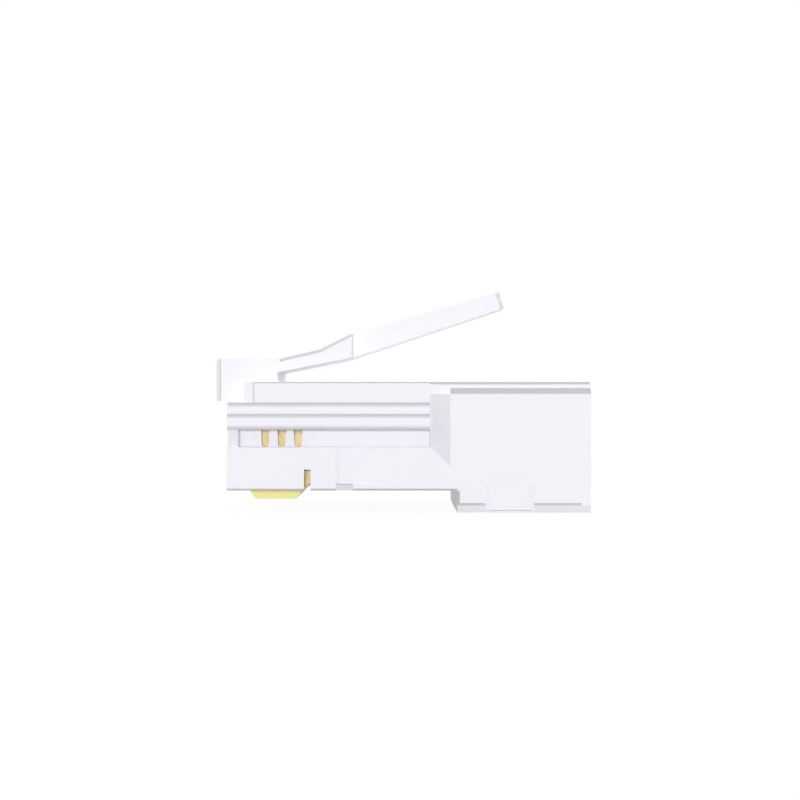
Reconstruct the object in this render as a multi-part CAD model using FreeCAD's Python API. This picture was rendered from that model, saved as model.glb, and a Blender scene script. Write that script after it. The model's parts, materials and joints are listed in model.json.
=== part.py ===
"""Eight-way modular plug for structured cabling: a clear moulded housing with a
sprung latch lever and eight three-tined, gold-plated contact blades.

Frame: X runs along the plug (mating nose at -X, cable face at +X), Y is the width
and Z is up. The latch is on top and the contacts point down. The origin is under
the middle of the plug, on the plane that its lowest face lies in. Sizes are in
millimetres; the model is symmetric about the XZ plane.
"""
import FreeCAD, Part
import math
import os
from FreeCAD import Vector

# ---------------------------------------------------------------- driving sizes
# Outer form of the housing
BODY_WIDTH = 11.68          # widest part of the section that enters the jack
FRONT_HEIGHT = 6.60         # body bottom to body top
FRONT_LENGTH = 12.34        # mating face to the foot of the shoulder
SHOULDER_LENGTH = 1.23      # sloping run from the narrow flank to the full width
STEP_SETBACK = 0.42         # top of the shoulder to the step under the body
REAR_LENGTH = 8.12          # step to the cable face
FOOT_DROP = 1.35            # the rear body is this much deeper than the front

# Flank: upper wall, two-bead guide rail, side channel and lower wall
UPPER_INSET = 0.40          # upper wall inside the full width
UPPER_STRIP = 1.25          # body top to the top of the guide rail
BEAD_PITCH = 0.69           # the lower bead starts this far below the upper one
LOWER_BEAD_HEIGHT = 0.96
BEAD_RISE = 0.17            # each bead stands this far out of the wall above it
BEAD_ROUND = 0.40           # height of the rounded upper part of a bead
BEAD_FOOT = 0.35            # height of the rounded foot of the lower bead
BEAD_TUCK = 0.14            # how far that foot curves back in
CHANNEL_HEIGHT = 1.07       # side channel, from the rail down to its ledge
CHANNEL_DEPTH = 1.45        # side channel below the full width
CHANNEL_LAND = 0.67         # solid length between mating face and side channel
LEAD_IN_DEPTH = 0.22        # taper on that land
SHOULDER_DIP = 1.16         # how far the shoulder's lower corner drops at full width
REAR_BEVEL_DROP = 0.73      # body top to the foot of the rear top bevel
REAR_BEVEL_HEIGHT = 0.36
REAR_BEVEL_CROWN = 0.04     # the bevel bulges this far over its chord
REAR_TOP_CHAMFER = 0.15
TOP_CHAMFER = 0.08
BOTTOM_CHAMFER = 0.12
CORNER_SETBACK = 0.97       # upper front corners stop this far behind the mating face
CORNER_LEAD_LENGTH = 0.66
CORNER_LEAD_DEPTH = 0.07
CORNER_LEAD_RAMP = 0.10     # slope at the end of the lead-in
STEP_CHAMFER = 0.15         # upright corners where the deeper rear body starts

# Rebate along the lower edge of the rear body, and the pad that interrupts it
REBATE_HEIGHT = 0.60
REBATE_STEP = 0.12
REBATE_STEP_HEIGHT = 0.15
REBATE_TAPER = 0.12
PAD_START = 1.70            # step face to the pad
PAD_LENGTH = 2.94
PAD_HEIGHT = 2.20
PAD_RISE = 0.06
PAD_SLOPE = 0.30
FLARE_LENGTH = 0.62         # the rebate widens over this length at the cable face
FLARE_HEIGHT = 1.10

# Latch: root block on the housing, lever on its own
ROOT_REACH = 1.03           # root stands this far ahead of the mating face
ROOT_LENGTH = 3.855
ROOT_HALF_WIDTH = 3.00
ROOT_RISE = 1.47            # root top above the body top
ROOT_ABOVE_RAIL = 0.10      # root foot above the top of the guide rail
ROOT_CHEEK_LENGTH = 0.22    # narrower front strip of the root's sides
ROOT_CHEEK_TAPER = 0.08
ROOT_CHEEK_STEP = 0.12      # how far that strip lies inside the full half-width
ROOT_CHEEK_RAMP = 0.10      # slope from the strip to the full half-width
ROOT_TOP_CHAMFER = 0.16
ROOT_FOOT_RADIUS = 0.30
LEVER_THICKNESS = 0.82      # at the living hinge
HINGE_GAP = 0.03            # parting line between root and lever
RAMP_LENGTH = 2.62          # first, shallow run of the wide part
RAMP_RISE = 0.61
WEDGE_LENGTH = 1.985        # second, steeper run, up to the locking shoulders
WEDGE_RISE = 1.00
SHOULDER_DEPTH = 1.51       # height of the locking shoulders
LEVER_EDGE_CHAMFER = 0.19
GRIP_HALF_WIDTH = 1.625
GRIP_LENGTH = 9.405         # locking shoulders to the top of the tip
GRIP_RISE = 2.72
TIP_THICKNESS = 1.02
TIP_OVERHANG = 0.30
TIP_RADIUS = 0.45
NECK_RADIUS = 0.12          # inside corners behind the locking shoulders
GRIP_GROOVE_COUNT = 9
GRIP_GROOVE_START = 1.30
GRIP_GROOVE_PITCH = 0.80
GRIP_GROOVE_WIDTH = 0.24
GRIP_GROOVE_DEPTH = 0.11
GRIP_GROOVE_INSET = 0.35     # grooves end this far inside the lever's flanks

# Contacts
CONTACT_COUNT = 8
CONTACT_PITCH = 1.02
CONTACT_THICKNESS = 0.32
CONTACT_START = 1.06        # mating face to the blade's front edge
BLADE_LENGTH = 3.50
BLADE_BELOW_LEDGE = 0.03    # top edge of the blade below the side channel's ledge
NOSE_DROP = 0.64            # nose below the body bottom before crimping
NOSE_RUN_FRONT = 0.47       # sloping run at the front of the nose
NOSE_RUN_REAR = 0.50
NOSE_RADIUS = 0.12
EAR_LENGTH = 0.37           # retaining ear behind the blade
EAR_RISE = 1.26             # body bottom to the top of the ear
EAR_FOOT = 0.42             # body bottom to the foot of the ear's upright edge
EAR_TOE = 0.15              # length of the ear at the body bottom
TINE_COUNT = 3
TINE_START = 1.14           # blade front edge to the middle of the first tine
TINE_PITCH = 1.01
TINE_WIDTH = 0.50
TINE_NECK = 0.36
TINE_NECK_HEIGHT = 0.22
TINE_HEIGHT = 1.46          # above the blade's top edge
TINE_POINT = 0.34           # length of the sharpened end

# Inside of the housing
SLOT_CLEARANCE = 0.02       # each side of a contact
SLOT_END_CLEARANCE = 0.04
SLOT_FRONT_DROP = 0.55      # top of the jack wire slots below the blade's top edge
WIRE_BORE = 0.90            # conductor channel
TINE_CLEARANCE = 0.03       # tine tips to the floor of the conductor channels
FRONT_WALL = 0.50
COMB_TAIL = 0.77            # contacts' ears to the rear end of the comb
CHAMBER_MARGIN = 0.23       # chamber wall outside the outer conductor channel
CHAMBER_HEIGHT = 1.62
CHAMBER_RADIUS = 0.40
WINDOW_CLEARANCE = 0.02     # side window beyond each edge of its tine
WINDOW_TAPER = 0.05         # each side of a window leans in this far at its foot
WINDOW_RADIUS = 0.18
EAR_GROOVE_SLANT = 0.125    # the ear groove's ends at the flanks stand this far behind its middle
CAVITY_SIDE_WALL = 1.19     # walls round the cable cavity
CAVITY_FLOOR = 0.95
CAVITY_ROOF = 0.95
CAVITY_RADIUS = 2.40
CAVITY_DEPTH = 6.10         # straight part
MOUTH_CHAMFER = 0.45
FUNNEL_LENGTH = 3.60

# Marks that the mould leaves on the lower flank
SINK_START = 6.62           # mating face to the soft step in the lower wall
SINK_RAMP = 0.25
SINK_DEPTH = 0.06
SINK_FOOT = 0.42            # body bottom to the lower end of the step
NOTCH_LENGTH = 1.05
NOTCH_HEIGHT = 0.46
NOTCH_STEP = 0.10
NOTCH_TAPER = 0.13
WALL_MARK_AHEAD = 2.39       # gate marks start this far ahead of the shoulder's foot
WALL_MARK_BELOW = 1.27       # and this far below or above the channel's ledge
WALL_MARK_LENGTH = 1.10
CHANNEL_MARK_AHEAD = 2.94
CHANNEL_MARK_ABOVE = 0.49
CHANNEL_MARK_LENGTH = 0.68
GATE_MARK_HEIGHT = 0.16
GATE_MARK_DEPTH = 0.05

# Clamps that a crimping tool pushes in
WIRE_CLAMP_START = 1.05     # comb end to the clamp pocket
WIRE_CLAMP_LENGTH = 2.60
WIRE_CLAMP_INSET = 0.35      # pocket ends inside the chamber's walls
WIRE_CLAMP_THICKNESS = 1.65  # chamber floor to the clamp's pushing face
WIRE_CLAMP_SPLAY = 0.45     # pocket walls lean out towards the tool
CABLE_CLAMP_START = 1.70    # step face to the clamp window
CABLE_CLAMP_LENGTH = 3.70
CABLE_CLAMP_INSET = 1.25     # window ends inside the cavity's walls
CABLE_CLAMP_RISE = 1.35     # height of the clamp's toe inside the cavity
CABLE_CLAMP_SKIN = 0.25     # clamp face set back from the foot plane
HINGE_WEB = 0.35            # web that each clamp turns about
SLIT = 0.30                 # gap round the free edges of a clamp

# ------------------------------------------------------------- derived stations
overall_length = ROOT_REACH + FRONT_LENGTH + SHOULDER_LENGTH + STEP_SETBACK + REAR_LENGTH
x_nose = -overall_length / 2
x_face = x_nose + ROOT_REACH
x_shoulder = x_face + FRONT_LENGTH
x_wide = x_shoulder + SHOULDER_LENGTH
x_step = x_wide + STEP_SETBACK
x_cable = x_step + REAR_LENGTH

z_bottom = FOOT_DROP
z_top = z_bottom + FRONT_HEIGHT
z_rail_top = z_top - UPPER_STRIP
z_bead_split = z_rail_top - BEAD_PITCH
z_rail_bottom = z_bead_split - LOWER_BEAD_HEIGHT
z_ledge = z_rail_bottom - CHANNEL_HEIGHT
z_bevel_foot = z_top - REAR_BEVEL_DROP
z_root_bottom = z_rail_top + ROOT_ABOVE_RAIL
z_root_top = z_top + ROOT_RISE

y_full = BODY_WIDTH / 2
y_upper = y_full - UPPER_INSET
y_channel = y_full - CHANNEL_DEPTH
y_upper_bead = y_upper + BEAD_RISE
y_lower_bead = y_upper_bead + BEAD_RISE
y_land = y_lower_bead - BEAD_TUCK

x_blade = x_face + CONTACT_START
x_blade_end = x_blade + BLADE_LENGTH
x_ear_end = x_blade_end + EAR_LENGTH
z_blade = z_ledge - BLADE_BELOW_LEDGE
z_nose = z_bottom - NOSE_DROP
slot_width = CONTACT_THICKNESS + 2 * SLOT_CLEARANCE
x_comb_end = x_ear_end + COMB_TAIL
z_chamber = z_blade + TINE_HEIGHT + TINE_CLEARANCE
z_wire = z_chamber + WIRE_BORE / 2
y_outer_contact = (CONTACT_COUNT - 1) * CONTACT_PITCH / 2
chamber_width = 2 * (y_outer_contact + WIRE_BORE / 2 + CHAMBER_MARGIN)
cavity_width = BODY_WIDTH - 2 * CAVITY_SIDE_WALL
cavity_height = z_top - CAVITY_FLOOR - CAVITY_ROOF
y_wire_clamp = chamber_width / 2 - WIRE_CLAMP_INSET
y_cable_clamp = cavity_width / 2 - CABLE_CLAMP_INSET

x_root_end = x_nose + ROOT_LENGTH
x_hinge = x_root_end + HINGE_GAP
z_hinge = z_root_top - LEVER_THICKNESS

FAR = 5.0                   # cutting tools run this far past the surfaces they cut


# --------------------------------------------------------------------- helpers
def face_of(points):
    """Planar face inside a closed polygon of 3-D points."""
    return Part.Face(Part.makePolygon(points + [points[0]]))


def prism_xz(outline, y_start, y_end):
    """Side-view outline (x, z) extruded across the width."""
    face = face_of([Vector(x, y_start, z) for x, z in outline])
    return face.extrude(Vector(0, y_end - y_start, 0))


def prism_yz(outline, x_start, x_end):
    """Cross-section outline (y, z) extruded along the plug."""
    face = face_of([Vector(x_start, y, z) for y, z in outline])
    return face.extrude(Vector(x_end - x_start, 0, 0))


def prism_xy(outline, z_start, z_end):
    """Plan outline (x, y) extruded upwards."""
    face = face_of([Vector(x, y, z_start) for x, y in outline])
    return face.extrude(Vector(0, 0, z_end - z_start))


def block(x_range, y_range, z_range):
    """Axis-aligned box from three (low, high) ranges."""
    size = [high - low for low, high in (x_range, y_range, z_range)]
    return Part.makeBox(*size, Vector(x_range[0], y_range[0], z_range[0]))


def on_both_sides(shape):
    """The shape and its mirror image about the XZ plane."""
    return [shape, shape.mirror(Vector(0, 0, 0), Vector(0, 1, 0))]


def edges_where(shape, test):
    """Edges whose two end points both pass the test."""
    return [edge for edge in shape.Edges
            if len(edge.Vertexes) == 2 and all(test(v.Point) for v in edge.Vertexes)]


def rounded_rectangle(x, width, z_low, height, radius):
    """Closed wire in a cross-section plane, centred on Y = 0."""
    half, z_high = width / 2, z_low + height
    inset = radius * (1 - math.sqrt(0.5))
    wire_edges = []
    corners = [(half, z_low, 1, 1), (half, z_high, 1, -1), (-half, z_high, -1, -1), (-half, z_low, -1, 1)]
    ends = []
    for y, z, side, up in corners:
        on_side = Vector(x, y, z + up * radius)
        on_level = Vector(x, y - side * radius, z)
        middle = Vector(x, y - side * inset, z + up * inset)
        first, last = (on_level, on_side) if side * up > 0 else (on_side, on_level)
        ends.append((first, last))
        wire_edges.append(Part.Arc(first, middle, last).toShape())
    for index, (_, last) in enumerate(ends):
        following = ends[(index + 1) % len(ends)][0]
        wire_edges.append(Part.makeLine(last, following))
    return Part.Wire(Part.__sortEdges__(wire_edges))


def tine_centres():
    """X of each tine, from the front one to the rear one."""
    return [x_blade + TINE_START + index * TINE_PITCH for index in range(TINE_COUNT)]


def contact_centres():
    """Y of each contact; number one is on the +Y side."""
    return [((CONTACT_COUNT + 1) / 2 - number) * CONTACT_PITCH for number in range(1, CONTACT_COUNT + 1)]


# ------------------------------------------------------- outside of the housing
def body_blank():
    """Side silhouette of the body at full width."""
    outline = [(x_face, z_bottom), (x_step, z_bottom), (x_step, 0), (x_cable, 0),
               (x_cable, z_top), (x_face, z_top)]
    return prism_xz(outline, -y_full, y_full)


def rounded_up_to(edge, crest):
    """Arc from an edge of the rail out to the upright tangent at its crest."""
    depth, height = crest.y - edge.y, edge.z - crest.z
    radius = (depth**2 + height**2) / (2 * depth)
    half_turn = math.asin(height / radius) / 2
    middle = Vector(edge.x, crest.y - radius * (1 - math.cos(half_turn)),
                    crest.z + radius * math.sin(half_turn))
    return Part.Arc(edge, middle, crest).toShape()


def rail_relief():
    """What is taken off one flank ahead of the shoulder: it leaves two beads, each out beyond the last."""
    wall_top = Vector(x_nose, y_upper - TOP_CHAMFER, z_top)
    wall = Vector(x_nose, y_upper, z_top - TOP_CHAMFER)
    upper_start = Vector(x_nose, y_upper, z_rail_top)
    upper_crest = Vector(x_nose, y_upper_bead, z_rail_top - BEAD_ROUND)
    lower_start = Vector(x_nose, y_upper_bead, z_bead_split)
    lower_crest = Vector(x_nose, y_lower_bead, z_bead_split - BEAD_ROUND)
    foot_crest = Vector(x_nose, y_lower_bead, z_rail_bottom + BEAD_FOOT)
    foot = Vector(x_nose, y_land, z_rail_bottom)
    around = [foot, Vector(x_nose, y_land, z_ledge), Vector(x_nose, y_full + FAR, z_ledge),
              Vector(x_nose, y_full + FAR, z_top + FAR), Vector(x_nose, wall_top.y, z_top + FAR), wall_top]
    edges = [Part.makeLine(wall_top, wall), Part.makeLine(wall, upper_start),
             rounded_up_to(upper_start, upper_crest), Part.makeLine(upper_crest, lower_start),
             rounded_up_to(lower_start, lower_crest), Part.makeLine(lower_crest, foot_crest),
             rounded_up_to(foot, foot_crest)]
    edges += [Part.makeLine(start, end) for start, end in zip(around, around[1:])]
    profile = Part.Face(Part.Wire(Part.__sortEdges__(edges)))
    return profile.extrude(Vector(x_shoulder - x_nose, 0, 0))


def channel_cut():
    """Side channel under the rail; it ends at the shoulder and stops short of the mating face."""
    return block((x_face + CHANNEL_LAND, x_shoulder), (y_channel, y_full + FAR), (z_ledge, z_rail_bottom))


def shoulder_cuts():
    """Slope from the narrow flank up to full width, with its dropped lower corner."""
    slope = prism_xy([(x_shoulder, y_upper), (x_wide, y_full), (x_wide, y_full + FAR),
                      (x_shoulder, y_full + FAR)], z_bottom, z_bevel_foot)
    window = prism_xz([(x_shoulder, z_ledge), (x_wide, z_ledge - SHOULDER_DIP),
                       (x_wide, z_bevel_foot), (x_shoulder, z_bevel_foot)], 0, y_full + FAR)
    above = prism_yz([(y_upper, z_bevel_foot), (y_full + FAR, z_bevel_foot), (y_full + FAR, z_top + FAR),
                      (y_upper - REAR_TOP_CHAMFER, z_top + FAR), (y_upper - REAR_TOP_CHAMFER, z_top),
                      (y_upper, z_top - REAR_TOP_CHAMFER)], x_shoulder, x_wide)
    return [slope.common(window), above]


def rear_top_cut():
    """Crowned bevel, narrow strip and top chamfer above the wide rear body."""
    foot = Vector(x_wide, y_full, z_bevel_foot)
    head = Vector(x_wide, y_upper, z_bevel_foot + REAR_BEVEL_HEIGHT)
    outwards = Vector(0, REAR_BEVEL_HEIGHT, UPPER_INSET).normalize()
    crown = (foot + head) * 0.5 + outwards * REAR_BEVEL_CROWN
    around = [head, Vector(x_wide, y_upper, z_top - REAR_TOP_CHAMFER),
              Vector(x_wide, y_upper - REAR_TOP_CHAMFER, z_top),
              Vector(x_wide, y_upper - REAR_TOP_CHAMFER, z_top + FAR),
              Vector(x_wide, y_full + FAR, z_top + FAR), Vector(x_wide, y_full + FAR, z_bevel_foot), foot]
    edges = [Part.Arc(foot, crown, head).toShape()]
    edges += [Part.makeLine(start, end) for start, end in zip(around, around[1:])]
    return Part.Face(Part.Wire(edges)).extrude(Vector(x_cable - x_wide, 0, 0))


def rebate_cuts():
    """Stepped, tapered rebate along the foot, interrupted by the pad and flared at the back."""
    y_step = y_full - REBATE_STEP
    z_step = REBATE_HEIGHT - REBATE_STEP_HEIGHT
    outline = [(y_full, REBATE_HEIGHT), (y_step, z_step), (y_step - REBATE_TAPER, 0),
               (y_step - REBATE_TAPER, -FAR), (y_full + FAR, -FAR), (y_full + FAR, REBATE_HEIGHT)]
    x_pad = x_step + PAD_START
    flare = prism_xz([(x_cable - FLARE_LENGTH, z_step), (x_cable - FLARE_LENGTH / 2, FLARE_HEIGHT),
                      (x_cable, FLARE_HEIGHT), (x_cable, z_step)], y_step, y_full + FAR)
    return [prism_yz(outline, x_step, x_pad), prism_yz(outline, x_pad + PAD_LENGTH, x_cable), flare]


def flank_pad():
    """Low pad on the rear flank, beside the cable clamp, with sloping edges."""
    x_low, x_high = x_step + PAD_START, x_step + PAD_START + PAD_LENGTH
    base = Part.makePolygon([Vector(x_low, y_full, BOTTOM_CHAMFER), Vector(x_high, y_full, BOTTOM_CHAMFER),
                             Vector(x_high, y_full, PAD_HEIGHT - PAD_SLOPE),
                             Vector(x_high - PAD_SLOPE, y_full, PAD_HEIGHT),
                             Vector(x_low + PAD_SLOPE, y_full, PAD_HEIGHT),
                             Vector(x_low, y_full, PAD_HEIGHT - PAD_SLOPE),
                             Vector(x_low, y_full, BOTTOM_CHAMFER)])
    y_pad = y_full + PAD_RISE
    x_in, x_out = x_low + PAD_SLOPE, x_high - PAD_SLOPE
    z_crown = PAD_HEIGHT - PAD_SLOPE
    crown = Part.makePolygon([Vector(x_in, y_pad, BOTTOM_CHAMFER + PAD_RISE),
                              Vector(x_out, y_pad, BOTTOM_CHAMFER + PAD_RISE),
                              Vector(x_out, y_pad, z_crown - PAD_SLOPE),
                              Vector(x_out - PAD_SLOPE, y_pad, z_crown),
                              Vector(x_in + PAD_SLOPE, y_pad, z_crown),
                              Vector(x_in, y_pad, z_crown - PAD_SLOPE),
                              Vector(x_in, y_pad, BOTTOM_CHAMFER + PAD_RISE)])
    return Part.makeLoft([base, crown], True, True)


def corner_cuts():
    """Upper front corners cut back beside the latch root, with a shallow lead-in."""
    x_corner = x_face + CORNER_SETBACK
    corner = block((x_face - FAR, x_corner), (ROOT_HALF_WIDTH, y_full + FAR), (z_rail_top, z_top + FAR))
    x_lead_end = x_corner + CORNER_LEAD_LENGTH
    y_lead = y_upper - CORNER_LEAD_DEPTH
    lead = prism_xy([(x_corner, y_lead), (x_lead_end - CORNER_LEAD_RAMP, y_lead), (x_lead_end, y_upper),
                     (x_lead_end, y_full), (x_corner, y_full)], z_rail_top, z_top)
    land = prism_xy([(x_face, y_land - LEAD_IN_DEPTH), (x_face + CHANNEL_LAND, y_land),
                     (x_face + CHANNEL_LAND, y_full), (x_face, y_full)], z_ledge, z_rail_bottom)
    return [corner, lead, land]


def lower_edge_cut():
    """Chamfer along the lower edge of the front body."""
    return prism_yz([(y_full - BOTTOM_CHAMFER, z_bottom), (y_full, z_bottom + BOTTOM_CHAMFER),
                     (y_full + FAR, z_bottom + BOTTOM_CHAMFER), (y_full + FAR, z_bottom)], x_face, x_step)


def step_chamfer():
    """Chamfer on the upright corner where the deeper rear body starts."""
    size = STEP_CHAMFER
    return prism_xy([(x_step - size, y_full - 2 * size), (x_step + 2 * size, y_full + size),
                     (x_step - size, y_full + size)], -FAR, z_bottom)


def latch_root():
    """Block that carries the lever: stepped front corners, chamfered top edge, filleted foot."""
    x_cheek = x_nose + ROOT_CHEEK_LENGTH
    y_cheek = ROOT_HALF_WIDTH - ROOT_CHEEK_STEP
    near_side = [(x_nose, -y_cheek + ROOT_CHEEK_TAPER), (x_cheek, -y_cheek),
                 (x_cheek + ROOT_CHEEK_RAMP, -ROOT_HALF_WIDTH), (x_root_end, -ROOT_HALF_WIDTH)]
    far_side = [(x, -y) for x, y in reversed(near_side)]
    root = prism_xy(near_side + far_side, z_root_bottom, z_root_top)
    ridge = prism_xz([(x_nose, z_root_top - ROOT_TOP_CHAMFER), (x_nose + ROOT_TOP_CHAMFER, z_root_top),
                      (x_nose, z_root_top)], -ROOT_HALF_WIDTH, ROOT_HALF_WIDTH)
    foot = block((x_root_end, x_root_end + ROOT_FOOT_RADIUS), (-ROOT_HALF_WIDTH, ROOT_HALF_WIDTH),
                 (z_top, z_top + ROOT_FOOT_RADIUS))
    hollow = Part.makeCylinder(ROOT_FOOT_RADIUS, 2 * ROOT_HALF_WIDTH,
                               Vector(x_root_end + ROOT_FOOT_RADIUS, -ROOT_HALF_WIDTH,
                                      z_top + ROOT_FOOT_RADIUS), Vector(0, 1, 0))
    return root.cut(ridge).fuse(foot.cut(hollow))


# -------------------------------------------------------- inside of the housing
def cable_cavity():
    """Rounded cable entry with a chamfered mouth and a funnel down to the wire chamber."""
    x_funnel = x_cable - CAVITY_DEPTH
    x_chamber = x_funnel - FUNNEL_LENGTH
    mouth = rounded_rectangle(x_cable, cavity_width + 2 * MOUTH_CHAMFER, CAVITY_FLOOR - MOUTH_CHAMFER,
                              cavity_height + 2 * MOUTH_CHAMFER, CAVITY_RADIUS + MOUTH_CHAMFER)
    neck = rounded_rectangle(x_cable - MOUTH_CHAMFER, cavity_width, CAVITY_FLOOR, cavity_height,
                             CAVITY_RADIUS)
    throat = rounded_rectangle(x_funnel, cavity_width, CAVITY_FLOOR, cavity_height, CAVITY_RADIUS)
    end = rounded_rectangle(x_chamber, chamber_width, z_chamber, CHAMBER_HEIGHT, CHAMBER_RADIUS)
    chamber = Part.Face(end).extrude(Vector(x_comb_end - x_chamber, 0, 0))
    return [Part.makeLoft([mouth, neck], True, True), Part.makeLoft([neck, throat], True, True),
            Part.makeLoft([throat, end], True, True), chamber]


def contact_slot(y):
    """Slot for one contact, with the opening for the jack's wire ahead of it."""
    gap = SLOT_END_CLEARANCE
    outline = [(x_face - FAR, z_bottom - FAR), (x_blade_end + gap, z_bottom - FAR),
               (x_blade_end + gap, z_wire), (x_blade - gap, z_wire),
               (x_blade - gap, z_blade - SLOT_FRONT_DROP), (x_face - FAR, z_blade - SLOT_FRONT_DROP)]
    return prism_xz(outline, y - slot_width / 2, y + slot_width / 2)


def ear_groove():
    """Groove across the whole body that the contacts' ears stand in; its ends slant back to the flanks."""
    x_rear = x_ear_end + SLOT_CLEARANCE
    y_inner = y_outer_contact + slot_width / 2
    y_outer = 2 * y_full - y_inner
    slant = 2 * EAR_GROOVE_SLANT
    near_end = [(x_blade_end, -y_inner), (x_blade_end + slant, -y_outer), (x_rear + slant, -y_outer),
                (x_rear, -y_inner)]
    far_end = [(x, -y) for x, y in reversed(near_end)]
    return prism_xy(near_end + far_end, z_bottom - FAR, z_bottom + EAR_RISE + SLOT_CLEARANCE)


def conductor_channel(y):
    """Blind round channel for one conductor, above its contact."""
    return Part.makeCylinder(WIRE_BORE / 2, x_comb_end - x_face - FRONT_WALL,
                             Vector(x_face + FRONT_WALL, y, z_wire), Vector(1, 0, 0))


def side_windows():
    """Narrow windows from the side channel to the tines of the outer contact, rounded at the foot."""
    half = TINE_WIDTH / 2 + WINDOW_CLEARANCE
    windows = []
    for x in tine_centres():
        outline = [(x - half, z_rail_bottom), (x + half, z_rail_bottom),
                   (x + half - WINDOW_TAPER, z_ledge), (x - half + WINDOW_TAPER, z_ledge)]
        window = prism_xz(outline, y_outer_contact, y_full)
        foot = edges_where(window, lambda point: abs(point.z - z_ledge) < 1e-6)
        foot = [edge for edge in foot if abs(edge.Vertexes[0].Y - edge.Vertexes[1].Y) > 1e-6]
        windows.append(window.makeFillet(WINDOW_RADIUS, foot))
    return windows


def mould_marks():
    """Soft step with a long taper, small notch and shallow gate marks on the lower flank."""
    x_sink = x_face + SINK_START
    sink = prism_xy([(x_sink, y_full), (x_sink + SINK_RAMP, y_full - SINK_DEPTH), (x_shoulder, y_full),
                     (x_shoulder, y_full + FAR), (x_sink, y_full + FAR)], z_bottom + SINK_FOOT, z_ledge)
    z_step = z_bottom + NOTCH_HEIGHT - NOTCH_STEP
    y_step = y_full - NOTCH_STEP
    notch = prism_yz([(y_full, z_bottom + NOTCH_HEIGHT), (y_step, z_step), (y_step - NOTCH_TAPER, z_bottom),
                      (y_full + FAR, z_bottom), (y_full + FAR, z_bottom + NOTCH_HEIGHT)],
                     x_sink, x_sink + NOTCH_LENGTH)
    wall_mark = gate_mark(x_shoulder - WALL_MARK_AHEAD, y_full, z_ledge - WALL_MARK_BELOW, WALL_MARK_LENGTH)
    channel_mark = gate_mark(x_shoulder - CHANNEL_MARK_AHEAD, y_channel, z_ledge + CHANNEL_MARK_ABOVE,
                             CHANNEL_MARK_LENGTH)
    return [sink, notch, wall_mark, channel_mark]


def gate_mark(x, y_wall, z, length):
    """Shallow level mark sunk in a wall of the flank."""
    half = GATE_MARK_HEIGHT / 2
    return block((x, x + length), (y_wall - GATE_MARK_DEPTH, y_wall + CHANNEL_DEPTH / 2),
                 (z - half, z + half))


def wire_clamp_cuts():
    """Tool pocket under the wire clamp, and the slits that leave it hinged at its front."""
    x_low = x_comb_end + WIRE_CLAMP_START
    x_high = x_low + WIRE_CLAMP_LENGTH
    half = y_wire_clamp
    z_push = z_chamber - WIRE_CLAMP_THICKNESS
    splay = WIRE_CLAMP_SPLAY
    pocket = prism_xz([(x_low - splay, z_bottom), (x_low, z_push), (x_high, z_push),
                       (x_high + splay, z_bottom)], -half, half)
    rear_slit = block((x_high - SLIT, x_high), (-half, half), (z_push, z_chamber + SLIT))
    end_slits = on_both_sides(block((x_low + HINGE_WEB, x_high), (half - SLIT, half),
                                    (z_push, z_chamber + SLIT)))
    relief = block((x_low, x_low + HINGE_WEB), (-half, half), (z_push, z_chamber - HINGE_WEB))
    return [pocket, rear_slit, relief] + end_slits


def cable_clamp_window():
    """Window in the foot for the cable clamp."""
    x_low = x_step + CABLE_CLAMP_START
    return block((x_low, x_low + CABLE_CLAMP_LENGTH), (-y_cable_clamp, y_cable_clamp),
                 (-FAR, CAVITY_FLOOR + CAVITY_RADIUS))


def cable_clamp():
    """Wedge that bites on the cable jacket, hinged on a thin web at the front of its window."""
    x_low = x_step + CABLE_CLAMP_START
    x_high = x_low + CABLE_CLAMP_LENGTH - SLIT
    z_web = CABLE_CLAMP_SKIN + HINGE_WEB
    z_toe = CAVITY_FLOOR + CABLE_CLAMP_RISE
    outline = [(x_low, CABLE_CLAMP_SKIN), (x_high, CABLE_CLAMP_SKIN), (x_high, z_toe),
               (x_high - HINGE_WEB, z_toe), (x_low + HINGE_WEB, z_web), (x_low, z_web)]
    half = y_cable_clamp - SLIT
    return prism_xz(outline, -half, half)


def housing():
    """The whole moulding, latch root included."""
    side_cuts = [rail_relief(), channel_cut(), rear_top_cut(), lower_edge_cut(), step_chamfer()]
    side_cuts += shoulder_cuts() + rebate_cuts() + corner_cuts() + side_windows() + mould_marks()
    tools = []
    for cut in side_cuts:
        tools += on_both_sides(cut)
    body = body_blank().cut(tools)
    body = body.fuse(on_both_sides(flank_pad()) + [latch_root()])
    inner = cable_cavity() + wire_clamp_cuts() + [cable_clamp_window(), ear_groove()]
    for y in contact_centres():
        inner += [contact_slot(y), conductor_channel(y)]
    return body.cut(inner).fuse(cable_clamp()).removeSplitter()


# ------------------------------------------------------------------ latch lever
def latch_lever():
    """Wide wedge with two locking shoulders, then the narrow finger lever."""
    x_ramp = x_hinge + RAMP_LENGTH
    z_ramp = z_root_top + RAMP_RISE
    x_lock = x_ramp + WEDGE_LENGTH
    z_lock = z_ramp + WEDGE_RISE
    top_line = [(x_hinge, z_root_top), (x_ramp, z_ramp), (x_lock, z_lock)]
    wide = prism_xz(top_line + [(x_lock, z_lock - SHOULDER_DEPTH), (x_hinge, z_hinge)],
                    -ROOT_HALF_WIDTH, ROOT_HALF_WIDTH)
    rims = [e for e in wide.Edges if is_top_rim(e, top_line)]
    wide = wide.makeChamfer(LEVER_EDGE_CHAMFER, rims)
    return wide.fuse([finger_lever(x_lock, z_lock)] + neck_fillets(x_lock, z_lock)).removeSplitter()


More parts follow.
